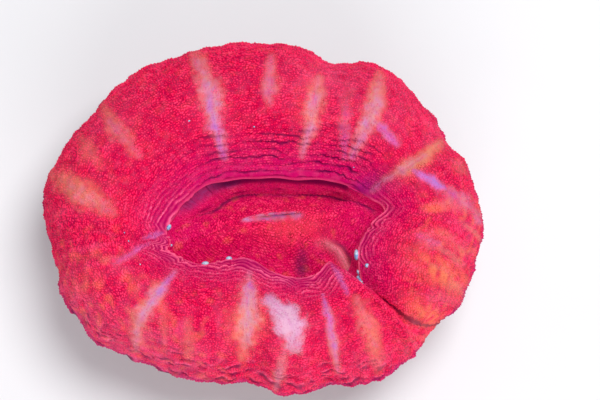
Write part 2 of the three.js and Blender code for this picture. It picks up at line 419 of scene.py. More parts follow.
# Pale stretched tissue: a lilac core with warmer edges, drawn out into fibres, in a milky haze
def stretchMasks(tipped, share):
    masks = {key: np.zeros(share.shape) for key in ("stretch", "warmth", "white", "veil")}
    for points, halfWidth, strength, warm, pale in stretches:
        distance, along, side = lineDistance(tipped, points)
        arch = np.sin(math.pi * np.clip(0.1 + 0.8 * along, 0, 1))
        wide = halfWidth * (0.45 + 0.55 * arch) * (0.7 + 0.4 * smooth(0.15, 0.55, share))
        near = distance < 2.2 * wide + 0.5
        length = lengthOf(np.diff(points, axis=0)).sum()
        down = along[near] * length
        fibre = noiseAt(np.stack([side[near] / 0.14, down / 1.6, 0 * down], axis=-1), 1.0, length)
        place = flatten(tipped[near], 0 * down)
        ragged = 0.6 * noiseAt(place, 0.45, length) + 0.7 * noiseAt(place, 1.5, length)
        edge = distance[near] / wide[near] + 0.6 * ragged + 0.25 * fibre
        mask = strength * (1 - smooth(0.1, 1.2, edge)) * (0.95 + 0.5 * fibre) * arch[near] ** 0.5
        found = {key: values[near] for key, values in masks.items()}
        hue = warm - 0.20 + 0.8 * (share[near] - 0.32) + 0.5 * edge + 0.35 * noiseAt(place, 0.7, length)
        haze = 0.3 * strength * arch[near] * hump(distance[near], 0.0, 1.3 * wide[near] + 0.3)
        masks["warmth"][near] = np.where(mask > found["stretch"], hue, found["warmth"])
        masks["white"][near] = np.maximum(found["white"], mask * pale)
        masks["stretch"][near] = np.maximum(found["stretch"], mask)
        masks["veil"][near] = np.maximum(found["veil"], haze)
    return {key: np.clip(values, 0, 1) for key, values in masks.items()}


def patchMask(tipped, patches):
    mask = 0.0
    for x, y, halfLength, halfWidth, turn, strength in patches:
        dx, dy = tipped[..., 0] - x, tipped[..., 1] - y
        along = (dx * math.cos(turn) + dy * math.sin(turn)) / halfLength
        across = (-dx * math.sin(turn) + dy * math.cos(turn)) / halfWidth
        mask = np.maximum(mask, strength * np.exp(-(along ** 2 + across ** 2)))
    return mask


fieldNames = "bead crease line stretch warmth white flush veil rim under bare".split()


# Shading fields of one part of the skin; those not given are nought
def fillFields(shape, **given):
    return {name: given.get(name, 0.0) + np.zeros(shape) for name in fieldNames}


# Folds and grain of the skin, in millimetres
skin = {
    "foldSpacing": 0.66, "foldDepth": 0.30,      # overlapping folds behind the back lip
    "lineSpacing": 0.42, "lineHeight": 0.15,     # fine terraces along the lip
    "layerSpacing": 0.35, "layerDepth": 0.18,    # layers down the outer flank
    "frillHeight": 0.22,                         # where they end
    "rowSpacing": 0.55,                          # faint rows all over
    "swell": 0.45,                               # of the lobes
    "lumps": 0.20,                               # small unevenness all over
    "septaHeight": 0.25, "stretchHeight": 0.15,
    "rippleSpacing": 0.34, "rippleHeight": 0.06, "discLumps": 0.16,
    "fibreHeight": 0.04, "grooveDepth": 0.12,    # the wall under the lip
    "hemFolds": 6, "hemFoldDepth": 0.14, "hemLumps": 0.12,
    "costae": 30, "costaHeight": 0.35,           # ribs of the cup
    "toothSpacing": 0.28, "toothHeight": 0.12, "cupGrain": 0.08,
}


# Overlapping folds behind the back lip: height, and creases where the shadow under each fold is painted
# dark
def lipFolds(lay, fromLip, back, wander):
    lipX = lay["lip"][:, 0]
    broken = smooth(-0.30, 0.30, ringNoise(lay, fromLip, 26, 0.7, 5.0))
    phase = fromLip / skin["foldSpacing"] + 0.9 * wander + 0.1
    ends = 0.35 + 0.65 * smooth(-7.0, -4.0, lipX) * smooth(9.6, 7.6, lipX)
    reach = back * smooth(0.05, 0.4, fromLip) * (1 - smooth(3.0, 6.5, fromLip)) * ends
    amount = reach * (0.35 + 0.65 * broken)
    return skin["foldDepth"] * amount * foldShape(phase), creaseMask(phase) * amount


# Fine terraces along the lip: height, bright crests that are partly paler tissue and partly painted
# highlight, gaps painted dark as shade, and how far they reach
def lipLines(lay, grid, fromLip, back, wander):
    lipX, lipY = lay["lip"].T
    cusps = np.abs(ringNoise(lay, 0.5 * fromLip, 40, 2.2, 71.0))
    phase = fromLip / skin["lineSpacing"] + 0.35 * wander + 2.8 * cusps * (1 - 0.8 * back)
    phase = phase + 0.3 * noiseAt(grid, 0.9, 131.0)
    inCleft = hump(lay["rib"], 26.5, 0.7)
    rightSide = smooth(7.5, 9.5, lipX)
    reach = (1 - smooth(1.4 - 0.8 * rightSide, 3.8 - 1.2 * rightSide, fromLip)) * (1 - 0.9 * inCleft)
    reach = reach * (1 - 0.85 * back * smooth(-7.8, -5.6, lipX))
    strand = ringNoise(lay, 1.7 * np.floor(phase), 34, 1.0, 111.0)
    crests = lineShape(phase) * reach * (0.3 + 0.9 * smooth(-0.35, 0.35, strand))
    pale = 1 - 0.5 * back * smooth(-3.0, 1.0, lipY)
    bright = np.maximum(crests * pale, (1 - 0.75 * back) * hump(fromLip, 0.05, 0.1))
    return skin["lineHeight"] * crests, bright, reach * creaseMask(phase), reach


# Layers down the outer flank that end in frills: height, creases painted dark as shade, bright crests that
# are partly paler tissue and partly painted highlight, and how far they reach
def flankLayers(lay, fromEdge):
    edgeX, edgeY = lay["edge"].T
    phase = fromEdge / skin["layerSpacing"] + 1.5 * ringNoise(lay, fromEdge, 26, 1.2, 9.0)
    phase = phase + 0.9 * ringNoise(lay, fromEdge, 110, 0.6, 12.0)
    front = 0.25 + 0.75 * smooth(-4.0, -10.0, edgeY) * smooth(16.0, 9.0, edgeX)
    nearEdge = 1 - smooth(0.8, 1.8, fromEdge)
    sparse = 0.6 * smooth(0.9, 2.4, fromEdge) - 0.1 * nearEdge
    broken = smooth(-0.1, 0.4, ringNoise(lay, fromEdge, 140, 0.35, 13.0) + 0.1 - sparse)
    amount = front * (1 - smooth(0.8, 4.5, fromEdge)) * broken
    frills = ringNoise(lay, fromEdge, 150, 0.5, 101.0) * (1 - smooth(0.3, 1.8, fromEdge))
    frills = frills * (0.4 + 0.6 * front)
    height = skin["layerDepth"] * amount * foldShape(-phase) + skin["frillHeight"] * frills
    cracks = (0.6 + 0.2 * nearEdge) * creaseMask(phase) * amount
    crests = (0.5 + 0.4 * nearEdge) * lineShape(phase + 0.25) * amount
    crests = np.maximum(crests, 0.12 * smooth(0.0, 0.5, frills))
    return height, cracks, crests, front * (1 - smooth(0.6, 3.6, fromEdge))


# Lays the milky haze, the orange spots and the stripes of the right lobe over the stretched tissue; part
# of the haze is painted pink light on the outer flank
def tintMantle(lay, grid, share, fromLip, flank, septa, masks):
    tipped = tippedPlan(grid)
    x, y = tipped[..., 0], tipped[..., 1]
    fromRim = smooth(0.2, 0.5, share)
    lobe = smooth(12.5, 16.0, x) * smooth(3.5, 1.0, y)
    lowerLeft = smooth(2.0, -6.0, y) * smooth(2.0, -8.0, x)
    mottled = np.maximum(lowerLeft, lobe)
    # The flank term is painted light: pink on the outer flank near the front edge
    haze = strongest(patchMask(tipped, veils), (0.25 + 0.6 * lowerLeft) * flank, 0.45 * septa)
    haze = haze * np.clip(0.8 + 0.8 * noiseAt(grid, 1.2, 67.0), 0, 1)
    smears = smooth(0.0, 0.7, ringNoise(lay, fromLip, 100, 3.0, 95.0)) * fromRim
    haze = np.maximum(haze, smears * (0.2 + 0.4 * mottled))
    haze = haze * (1 - 0.8 * hump(x, -2.4, 2.2) * smooth(-12.0, -14.0, y))
    spots = smooth(0.0, 0.6, noiseAt(grid, 0.9, 57.0)) * (0.1 + 0.3 * mottled) * fromRim
    onLobe = lobe * smooth(0.2, 0.45, share)
    warm = smooth(0.0, 0.7, ringNoise(lay, 0.3 * fromLip, 60, 1.0, 141.0)) * onLobe
    dull = 0.35 * smooth(0.1, 0.7, ringNoise(lay, 0.3 * fromLip, 90, 1.0, 147.0)) * onLobe
    orange = patchMask(tipped, flushes) * np.clip(0.7 + 1.1 * noiseAt(grid, 0.8, 61.0), 0, 1)
    return {
        "white": masks["white"],
        "flush": strongest(orange, spots, 0.6 * warm),
        "warmth": np.where(dull > masks["stretch"], 0.85, masks["warmth"]),
        "stretch": np.maximum(masks["stretch"], dull),
        "veil": np.maximum(masks["veil"], haze),
    }


def mantleDetail(lay, grid, share):
    fromLip = share * lay["length"]
    edgeX, edgeY = lay["edge"].T
    back = smooth(-2.5, 4.0, (lay["lip"][:, 1] + edgeY) / 2)
    tipped = tippedPlan(grid)
    masks = stretchMasks(tipped, share)
    wander = ringNoise(lay, fromLip, 14, 3.0) + 0.5 * ringNoise(lay, fromLip, 48, 1.5, 2.0)
    wander = wander + 0.25 * ringNoise(lay, fromLip, 120, 0.8, 6.0)
    folds, foldCracks = lipFolds(lay, fromLip, back, wander)
    lines, lineCrests, gaps, lineReach = lipLines(lay, grid, fromLip, back, wander)
    layers, layerCracks, layerCrests, flank = flankLayers(lay, (1 - share) * lay["length"])
    septa = smooth(-0.1, 0.6, ringNoise(lay, 0.0, 62, 1.0, 91.0)) * smooth(0.3, 0.7, share)
    septa = septa * smooth(0.0, -5.0, edgeY) * smooth(15.0, 8.0, edgeX)
    rows = creaseMask(fromLip / skin["rowSpacing"] + 1.2 * wander) * smooth(1.0, 3.0, fromLip)
    rows = rows * smooth(-0.2, 0.3, ringNoise(lay, fromLip, 60, 0.8, 121.0)) * (1 - masks["stretch"])
    offset = lay["rib"] - cleft["rib"] + 0.12 * noiseAt(grid, 0.7, 73.0)
    gully = smooth(-0.20, -0.08, offset) * (1 - smooth(0.0, 0.10, offset)) * smooth(0.1, 0.35, share)
    leftEnd = smooth(-12.5, -17.0, tipped[..., 0]) * smooth(5.0, 1.0, np.abs(tipped[..., 1] + 1.5))
    pits = smooth(0.2, 0.6, noiseAt(grid, 0.42, 151.0)) * (0.12 + 0.4 * leftEnd) * smooth(0.3, 0.6, share)
    # Painted shade: the crease field darkens the folds' creases, the terrace gaps, the flank cracks, the
    # faint rows, the cleft's gully and the pits at the left end
    cracks = strongest(foldCracks, layerCracks, 0.3 * rows, 0.6 * gully, 0.38 * gaps, pits)
    fans = smooth(-0.15, 0.3, ringNoise(lay, 0.0, 24, 1.0, 81.0)) * (1 - back)
    shoulder = hump(lay["rib"], 1.7, 0.8) * (1 - smooth(0.5, 4.5, fromLip))
    strips = lineReach * (1 - smooth(0.8, 2.4, fromLip)) * fans
    lipBare = 0.9 * (1 - smooth(0.1, 0.4 + 0.7 * back, fromLip + 0.3 * wander))
    lineBare = lineReach * (0.6 + 0.4 * fans) * (1 - smooth(0.7, 1.9, fromLip + 0.4 * wander))
    fields = fillFields(
        share.shape, **tintMantle(lay, grid, share, fromLip, flank, septa, masks),
        bead=0.04 + 0.12 * noiseAt(grid, 0.5, 17.0) + 0.5 * masks["stretch"],
        crease=cracks * (1 - 0.5 * masks["stretch"]),
        # line: bright crests of the terraces and layers, partly paler tissue and partly painted highlight
        line=np.maximum(lineCrests, layerCrests),
        # rim: darker magenta towards the lip, partly the skin's own tone and partly painted shade on the
        # slope into the hollow; it also draws the granules out along the lip
        rim=1 - smooth(0.0, 5.0, fromLip),
        # under: painted violet shade on the underside of the edge, on a patch by the lip at the right, and
        # between the lip's fan lines
        under=strongest(0.5 * smooth(0.98, 1.0, share), 0.75 * shoulder, 0.10 * strips),
        bare=np.maximum(lipBare, lineBare),
    )
    swell = skin["swell"] * ringNoise(lay, fromLip, 15, 9.0, 21.0) * smooth(0.1, 0.6, share)
    lumps = skin["lumps"] * (noiseAt(grid, 0.9, 2.0) * smooth(0.1, 0.5, share) + noiseAt(grid, 2.6, 4.0))
    height = folds + lines + layers + swell + skin["septaHeight"] * septa + lumps
    return height + skin["stretchHeight"] * masks["stretch"], fields


def discDetail(lay, grid, share):
    tipped = tippedPlan(grid)
    mouth = polyp["mouth"]
    fromMouth = grid[..., 0] - mouth["x"]
    away = np.hypot(fromMouth / 1.9, grid[..., 1] - mouth["y"])
    phase = away / skin["rippleSpacing"] + 0.9 * noiseAt(grid, 1.8, 3.0)
    ripples = skin["rippleHeight"] * (lineShape(phase) - 0.4) * smooth(0.12, 0.3, share)
    lumps = skin["discLumps"] * noiseAt(grid, 2.0, 8.0) * smooth(0.15, 0.4, share)
    lumps = lumps * (1 - smooth(0.9, 1.0, share))
    distance, along, side = lineDistance(grid[..., :2], fingerFold["points"])
    finger = hump(distance, 0.0, 0.5) * smooth(0.0, 0.4, along)
    fingerLines = finger * smooth(0.1, 0.4, np.cos(side / 0.045))
    shade = hump(side, -0.65, 0.25) * smooth(0.15, 0.5, along)
    valley = hump(tipped[..., 0], 3.9, 0.6) * hump(tipped[..., 1], -4.7, 1.3)
    valley = valley * np.clip(0.9 + 0.8 * noiseAt(grid, 0.7, 33.0), 0, 1)
    lips = (1 - smooth(0.02, 0.13, share)) * (0.6 + 0.8 * noiseAt(grid, 0.6, 14.0))
    lilac = lips * (0.85 + 0.5 * smooth(0.0, -2.0, fromMouth))
    lilac = np.maximum(lilac, 0.9 * (1 - smooth(-0.1, 0.0, share)))
    slit = (1 - smooth(-0.10, -0.02, share)) * smooth(0.5, 1.1, fromMouth)
    leftEnd = hump(fromMouth, -2.0, 0.6) * (1 - smooth(0.0, 0.12, share))
    backWall = smooth(-1.2, 0.2, lay["wallFoot"][:, 1])
    groove = hump(share, 0.965, 0.03) * smooth(-0.6, 0.0, noiseAt(grid, 2.5, 6.0)) * backWall
    fields = fillFields(
        share.shape,
        bead=0.16 + 0.2 * noiseAt(grid, 0.6, 2.0),
        # Painted shade: the crease field darkens the groove at the back wall's foot, the valley, the steep
        # flank of the finger fold and the mouth slit
        crease=strongest(groove, 0.4 * valley, 0.8 * shade, 0.7 * slit),
        line=0.5 * np.maximum(fingerLines, leftEnd),
        stretch=np.maximum(0.9 * lilac, 0.65 * finger),
        warmth=np.where(finger > lips, 0.7, 0.3 + 0.4 * noiseAt(grid, 0.5, 24.0)),
        flush=np.maximum(patchMask(tipped, flushes), 0.35 * smooth(0.25, 0.7, noiseAt(grid, 0.9, 27.0))),
        # rim: darker magenta towards the wall foot, partly the disc's own tone and partly painted shade in
        # the hollow
        rim=smooth(0.25, 1.0, share),
        # under: painted violet shade in the valley and at the foot of the back wall
        under=np.maximum(0.85 * valley, 0.35 * smooth(0.85, 1.0, share) * backWall),
        bare=np.maximum(0.8 * lips, 0.5 * finger),
    )
    return ripples + lumps, fields


# The wall under the lip: fibres, a bent groove painted dark as shade, a dark band painted as the shadow
# where it tucks under the lip, and painted blue shade at the left
def wallDetail(lay, grid, level):
    lipX, lipY = lay["lip"].T
    fibre = ringNoise(lay, level, 300, 2.0, 41.0)
    bend = 0.22 + 0.12 * ringNoise(lay, 0.0, 22, 1.0, 44.0)
    groove = hump(level, bend, 0.035) * smooth(-0.2, 0.2, ringNoise(lay, 0.0, 30, 1.0, 47.0))
    tucked = smooth(0.25, 0.38, lay["tuck"]) * smooth(0.51, 0.57, level)
    leftBack = smooth(-1.5, -3.0, lipX) * smooth(-8.6, -7.2, lipX) * smooth(-2.0, -0.5, lipY)
    blue = leftBack * smooth(0.3, 0.6, level)
    gaps = (0.3 + 0.5 * blue) * smooth(0.1, 0.5, fibre)
    # Painted shade: crease darkens the band under the lip, the groove and the gaps between fibres; rim
    # darkens the whole wall; under lays blue-violet shade, strongest at the left
    fields = fillFields(
        level.shape,
        bead=0.42 + 0.4 * fibre,
        crease=strongest(tucked, 0.8 * groove, gaps),
        stretch=0.28 * blue * smooth(-0.3, 0.4, noiseAt(grid, 0.5, 161.0) - 0.6 * fibre),
        rim=1.0,
        under=0.06 + 0.66 * blue,
        bare=0.9 * blue,
    )
    height = skin["fibreHeight"] * fibre - skin["grooveDepth"] * groove
    return height * np.sin(math.pi * np.clip(level, 0, 1)), fields


def hemDetail(lay, grid, share):
    depth = np.linspace(0, 1, len(share))[:, None]
    phase = depth * skin["hemFolds"] + 0.9 * ringNoise(lay, depth * 4, 16, 2.0, 9.0)
    amount = np.sin(math.pi * depth)
    beads = 0.5 + 0.4 * noiseAt(grid, 0.35, 3.0)
    cracks = creaseMask(phase) * amount * 0.8
    # Painted shade: the hem's fold creases are dark, and the whole underside takes violet shade and half
    # the rim's darker tone
    fields = fillFields(share.shape, bead=beads, crease=cracks, rim=0.5, under=0.7)
    height = skin["hemFoldDepth"] * foldShape(phase) + skin["hemLumps"] * noiseAt(grid, 1.2, 2.0)
    return amount * height, fields


# The bare cup: tall and short costae by turns, with small teeth, and painted shade in the grooves between
# the costae
def cupDetail(lay, grid, share):
    turn = lay["turn"] * skin["costae"]
    tall = np.clip(np.cos(2 * math.pi * turn), 0, 1) ** 2
    short = np.clip(np.cos(2 * math.pi * (turn + 0.5)), 0, 1) ** 3
    profile = tall + 0.5 * short
    teeth = (0.5 + 0.5 * np.sin(grid[..., 2] / skin["toothSpacing"] + 5 * np.round(turn * 2))) * profile
    fields = fillFields(share.shape, bead=profile, crease=1 - np.clip(profile * 1.5, 0, 1), line=teeth)
    height = skin["costaHeight"] * (profile - 0.4) + skin["toothHeight"] * teeth
    height = height + skin["cupGrain"] * noiseAt(grid, 0.6, 7.0)
    return height * smooth(0.0, 0.03, 1 - np.linspace(0, 1, len(share)))[:, None], fields


# Every part of the skin as a grid of rings, in place, with its shading fields
def sculpt():
    lay = layOut()
    parts = [
        ("disc", discGrid(lay), discDetail, 2),
        ("wall", wallGrid(lay), wallDetail, 1),
        ("mantle", mantleGrid(lay), mantleDetail, 1),
        ("hem", underGrid(lay, hemSection, polyp["hemRings"]), hemDetail, 2),
        ("cup", underGrid(lay, cupSection, polyp["cupRings"]), cupDetail, 2),
    ]
    normals = gridNormals(np.concatenate([grid for _, (grid, _), _, _ in parts]))
    layers = {}
    start = 0
    for name, (grid, share), detail, thin in parts:
        height, fields = detail(lay, grid, share)
        moved = grid + normals[start:start + len(grid)] * height[..., None]
        moved[..., :2] += lay["shift"]
        start += len(grid)
        layers[name] = {"grid": moved, "fields": fields, "thin": thin}
    print("skin sculpted")
    return layers


# Rings from the middle of the disc to the middle of the cut face; each end ring is one point
def allRings(layers):
    rings = []
    for name, layer in layers.items():
        thin = layer["thin"]
        for index, points in enumerate(layer["grid"]):
            fields = {key: values[index, ::thin] for key, values in layer["fields"].items()}
            rings.append({"part": name, "points": points[::thin], "fields": fields})
    ends = []
    for ring in (rings[0], rings[-1]):
        centre = ring["points"].mean(axis=0, keepdims=True)
        fields = {key: values[:1] for key, values in ring["fields"].items()}
        ends.append({"part": ring["part"], "points": centre, "fields": fields})
    return [ends[0], *rings, ends[1]]


# Triangles between two rings, of which one has as many points as the other, twice as many, or one
def stripFaces(inner, outer, firstInner, firstOuter, parity):
    closed = 1 in (inner, outer)
    i = np.arange(max(inner, outer) if closed else min(inner, outer))
    j = i + 1

    def near(index):
        return firstInner + index % inner

    def far(index):
        return firstOuter + index % outer

    if closed:
        rows = [(near(i), far(i), far(j) if inner == 1 else near(j))]
    elif inner == outer:
        odd = (i + parity) % 2 == 1
        rows = [(near(i), far(i), np.where(odd, far(j), near(j))),
                (np.where(odd, near(i), far(i)), far(j), near(j))]
    elif inner < outer:
        middle = far(2 * i + 1)
        rows = [(near(i), far(2 * i), middle), (near(i), middle, near(j)), (near(j), middle, far(2 * j))]
    else:
        middle = near(2 * i + 1)
        rows = [(near(2 * i), far(i), middle), (middle, far(i), far(j)), (middle, far(j), near(2 * j))]
    return np.concatenate([np.stack(row, 1) for row in rows])


# Triangles of a closed skin, strip by strip, from the number of points in each ring
def skinStrips(counts):
    firsts = np.cumsum([0, *counts])
    pairs = zip(counts, counts[1:], firsts, firsts[1:])
    return [stripFaces(*pair, parity) for parity, pair in enumerate(pairs)]


def newMesh(name, points, faces, fields, slots=None):
    mesh = bpy.data.meshes.new(name)
    mesh.from_pydata((points * mm).tolist(), [], faces.tolist())
    mesh.polygons.foreach_set("use_smooth", np.ones(len(faces), bool))
    if slots is not None:
        mesh.polygons.foreach_set("material_index", slots.astype(np.int32))
    for key, values in fields.items():
        layer = mesh.attributes.new(key, "FLOAT", "POINT")
        layer.data.foreach_set("value", values.astype(np.float32))
    mesh.update()
    print(name, "faces:", len(faces))
    return mesh


partSlots = {"disc": 1, "wall": 1, "mantle": 0, "hem": 0, "cup": 2}


def polypMesh(layers):
    rings = allRings(layers)
    strips = skinStrips([len(ring["points"]) for ring in rings])
    slots = [np.full(len(strip), partSlots[ring["part"]]) for strip, ring in zip(strips, rings[1:])]
    points = np.concatenate([ring["points"] for ring in rings])
    fields = {key: np.concatenate([ring["fields"][key] for ring in rings]) for key in fieldNames}
    return newMesh("polyp_flesh", points, np.concatenate(strips), fields, np.concatenate(slots))


# The granules of the skin, in millimetres
granules = {
    "mantle": {"pitch": 0.275, "first": 0.3, "size": 0.136, "height": 0.13, "draw": 2.4},
    "disc": {"pitch": 0.30, "first": 0.5, "size": 0.138, "height": 0.13, "draw": 2.8},
    "sides": 6,
    "sink": 0.03,
    "footDepth": 0.08,
    "hemRings": 6,                               # hem rings that carry granules too
    "wallRings": 11,                             # wall rings that can be seen
    "backFrom": 3.5, "rightFrom": -1.0,          # where the mantle's granules are parted in three
    "seed": 7,
}


# Values of a grid at fractional rings and columns
def sampleGrid(grid, ring, column):
    rings, columns = grid.shape[:2]
    low = np.clip(np.floor(ring).astype(int), 0, rings - 2)
    left = np.floor(column).astype(int)
    share, turn = ring - low, column - left
    if grid.ndim == 3:
        share, turn = share[:, None], turn[:, None]
    left, right = left % columns, (left + 1) % columns
    upper = grid[low, left] * (1 - turn) + grid[low, right] * turn
    lower = grid[low + 1, left] * (1 - turn) + grid[low + 1, right] * turn
    return upper * (1 - share) + lower * share


# Places for granules: rows at even steps from the first ring, unevenly spaced along each row
def granuleSpots(grid, values, random):
    rings, columns = grid.shape[:2]
    steps = lengthOf(np.diff(grid, axis=0))
    reach = np.concatenate([np.zeros((1, columns)), np.cumsum(steps, axis=0)])
    rows = np.arange(values["first"], reach.max(), values["pitch"])
    index = np.arange(rings)
    ringAt = np.stack([np.interp(rows, reach[:, c], index, right=np.nan) for c in range(columns)], axis=1)
    spots = []
    for row, ring in zip(rows, ringAt):
        known = ~np.isnan(ring)
        ring = np.nan_to_num(ring)
        points = sampleGrid(grid, ring, np.arange(columns))
        stride = lengthOf(np.roll(points, -1, axis=0) - points) * known * np.roll(known, -1)
        travelled = np.concatenate([[0.0], np.cumsum(stride)])
        count = int(travelled[-1] / values["pitch"])
        if count < 3:
            continue
        wanted = np.arange(count) + random.uniform(-0.32, 0.32, count) + random.uniform()
        column = np.interp(wanted % count * travelled[-1] / count, travelled, np.arange(columns + 1))
        nearest = np.floor(column).astype(int) % columns
        spacing = np.maximum(steps[np.clip(ring[nearest].astype(int), 0, rings - 2), nearest], 0.02)
        calm = 1 - 0.7 * smooth(5.0, 1.0, row)
        jitter = random.uniform(-0.3, 0.3, count) * calm * values["pitch"] / spacing
        level = ring[nearest] + (ring[(nearest + 1) % columns] - ring[nearest]) * (column % 1)
        spots.append(np.stack([level + jitter, column], axis=1)[known[nearest]])
    spots = np.concatenate(spots)
    return spots[(spots[:, 0] > 1) & (spots[:, 0] < rings - 2)]


# The centre of each granule, the way out of the skin, and the ways along and across its row
def granuleAxes(grid, ring, column, rim):
    centre = sampleGrid(grid, ring, column)
    normal = sampleGrid(gridNormals(grid), ring, column)
    normal /= lengthOf(normal)[:, None]
    along = sampleGrid(grid, ring, column + 1.5) - sampleGrid(grid, ring, column - 1.5)
    along -= (along * normal).sum(axis=1)[:, None] * normal
    along /= lengthOf(along)[:, None]
    across = np.cross(normal, along)
    spin = (1.6 * noiseAt(centre, 0.8, 49.0) * (1 - rim))[:, None]
    turned = along * np.cos(spin) + across * np.sin(spin)
    return centre, normal, turned, across * np.cos(spin) - along * np.sin(spin)


# Joined domes, each closed below: a ring of points, a crown and a foot
def domes(centre, normal, along, across, height, random):
    count, sides = len(centre), granules["sides"]
    angle = 2 * math.pi * np.arange(sides) / sides + random.uniform(0, 1, count)[:, None]
    wide = 1 + 0.15 * random.uniform(-1, 1, (count, sides))
    low = centre - normal * granules["sink"]
    rim = (low[:, None] + along[:, None] * (np.cos(angle) * wide)[..., None]
           + across[:, None] * (np.sin(angle) * wide)[..., None])
    crown = centre + normal * height[:, None]
    foot = low - normal * granules["footDepth"]
    points = np.concatenate([rim, crown[:, None], foot[:, None]], axis=1).reshape(-1, 3)
    i = np.arange(sides)
    j = (i + 1) % sides
    shape = np.concatenate([np.stack([i, j, 0 * i + sides], 1), np.stack([j, i, 0 * i + sides + 1], 1)])
    return points, (shape[None] + (sides + 2) * np.arange(count)[:, None, None]).reshape(-1, 3)


# Granules are few where the skin is bare, and there are none in its creases
def granuleMesh(name, grid, fields, values, random, keep=None):
    spots = granuleSpots(grid, values, random)
    spots = spots[sampleGrid(fields["bare"], *spots.T) < random.uniform(0.15, 0.85, len(spots))]
    spots = spots[sampleGrid(fields["crease"], *spots.T) < 0.5]
    if keep:
        spots = spots[keep(*sampleGrid(grid, *spots.T).T)]
    found = {key: sampleGrid(value, *spots.T) for key, value in fields.items()}
    centre, normal, along, across = granuleAxes(grid, *spots.T, found["rim"])
    count = len(spots)
    drawn = np.maximum(smooth(-0.5, 0.4, noiseAt(centre, 1.7, 31.0)), found["rim"])
    plain = (1 - 0.5 * found["stretch"]) * (1 - 0.4 * found["bare"])
    size = values["size"] * random.uniform(0.62, 1.3, count) * plain
    length = size * (1 + (values["draw"] - 1) * drawn * random.uniform(0.1, 1.1, count))
    height = values["height"] * random.uniform(0.5, 1.35, count) * plain * (1 - 0.7 * found["crease"])
    clumps = 0.6 * (noiseAt(centre, 0.5, 37.0) + noiseAt(centre, 1.2, 43.0))
    tone = np.clip(random.uniform(0.5, 1.0, count) + 0.6 * clumps, 0.35, 1)
    # topHighlight: a pink painted highlight on granule tops, in clusters, standing in for light on the
    # uneven skin
    topHighlight = 0.18 * smooth(-0.1, 0.8, clumps + random.uniform(-0.35, 0.35, count))
    for key in ("stretch", "white"):             # granules stay redder than the pale tissue under them
        found[key] = np.clip(found[key] * random.uniform(0.65, 1.1, count), 0, 1)
    points, faces = domes(centre, normal, along * length[:, None], across * size[:, None], height, random)
    crown = granules["sides"]
    spread = {key: np.repeat(value[:, None], crown + 2, axis=1) for key, value in found.items()}
    # Each granule is dark at its foot and light at its crown: partly its own colour, partly painted shade
    # at the foot and painted highlight on top
    spread["bead"][:] = 0.02
    spread["bead"][:, crown] = tone
    spread["line"] = np.maximum(0.5 * spread["line"], 0.7 * topHighlight[:, None])
    spread["line"][:, crown] = np.maximum(spread["line"][:, crown], topHighlight)
    return newMesh(name, points, faces, {key: value.reshape(-1) for key, value in spread.items()})


# Puts values, or the outputs of other nodes, into a node's inputs
def feed(tree, node, inputs):
    for key, value in inputs.items():
        if isinstance(value, bpy.types.NodeSocket):
            tree.links.new(value, node.inputs[key])
        else:
            node.inputs[key].default_value = value


def addNode(tree, kind, inputs, **settings):
    node = tree.nodes.new(kind)
    for key, value in settings.items():
        setattr(node, key, value)
    feed(tree, node, inputs)
    return node


def mixColour(tree, mask, under, over):
    return addNode(tree, "ShaderNodeMix", {0: mask, 6: under, 7: over}, data_type="RGBA").outputs[2]


def sums(tree, operation, first, second):
    inputs = {0: first, 1: second}
    return addNode(tree, "ShaderNodeMath", inputs, operation=operation, use_clamp=True).outputs[0]


# A field of the mesh, at some part of its strength
def field(tree, name, strength=1.0):
    value = addNode(tree, "ShaderNodeAttribute", {}, attribute_name=name).outputs["Fac"]
    return sums(tree, "MULTIPLY", value, strength)


# A map of one value onto a range, eased at both ends
def eased(tree, value, low, high, start=0.0, end=1.0):
    inputs = {"Value": value, "From Min": low, "From Max": high, "To Min": start, "To Max": end}
    return addNode(tree, "ShaderNodeMapRange", inputs, interpolation_type="SMOOTHSTEP").outputs["Result"]


def newGroup(name, inputs, outputs):
    group = bpy.data.node_groups.new(name, "ShaderNodeTree")
    for socketName, value in inputs.items():
        kind = "NodeSocketColor" if isinstance(value, tuple) else "NodeSocketFloat"
        socket = group.interface.new_socket(socketName, in_out="INPUT", socket_type=kind)
        socket.default_value = value
    for socketName, kind in outputs.items():
        group.interface.new_socket(socketName, in_out="OUTPUT", socket_type=kind)
    return group, group.nodes.new("NodeGroupInput"), group.nodes.new("NodeGroupOutput")


def useGroup(tree, group, inputs):
    return addNode(tree, "ShaderNodeGroup", inputs, node_tree=group)


# A texture over the piece's own space, with so many features per millimetre
def texture(group, kind, perMm, **inputs):
    place = addNode(group, "ShaderNodeTexCoord", {})
    scale = addNode(group, "ShaderNodeMath", {0: perMm, 1: 1 / mm}, operation="MULTIPLY")
    inputs = {"Vector": place.outputs["Object"], "Scale": scale.outputs[0], **inputs}
    return addNode(group, kind, inputs)


# Fine grains of the living skin or the bare skeleton: mask and height
def buildGrainGroup():
    outputs = {"Mask": "NodeSocketFloat", "Height": "NodeSocketFloat"}
    group, given, result = newGroup("fine grain", {"Grains per mm": 5.0, "Softness": 0.4}, outputs)
    cells = texture(group, "ShaderNodeTexVoronoi", given.outputs["Grains per mm"], Randomness=0.8)
    shape = eased(group, cells.outputs["Distance"], given.outputs["Softness"], 0.85, 1.0, 0.0)
    feed(group, result, {"Mask": shape, "Height": shape})
    return group


# Soft uneven patches: a mask from 0 to 1
def buildMottleGroup():
    inputs = {"Patches per mm": 0.5, "Low": 0.45, "High": 0.65}
    group, given, result = newGroup("mottle", inputs, {"Mask": "NodeSocketFloat"})
    perMm, low, high = given.outputs[:3]
    cloud = texture(group, "ShaderNodeTexNoise", perMm, Detail=4.0, Roughness=0.6)
    feed(group, result, {"Mask": eased(group, cloud.outputs["Fac"], low, high)})
    return group


grain = buildGrainGroup()
mottle = buildMottleGroup()


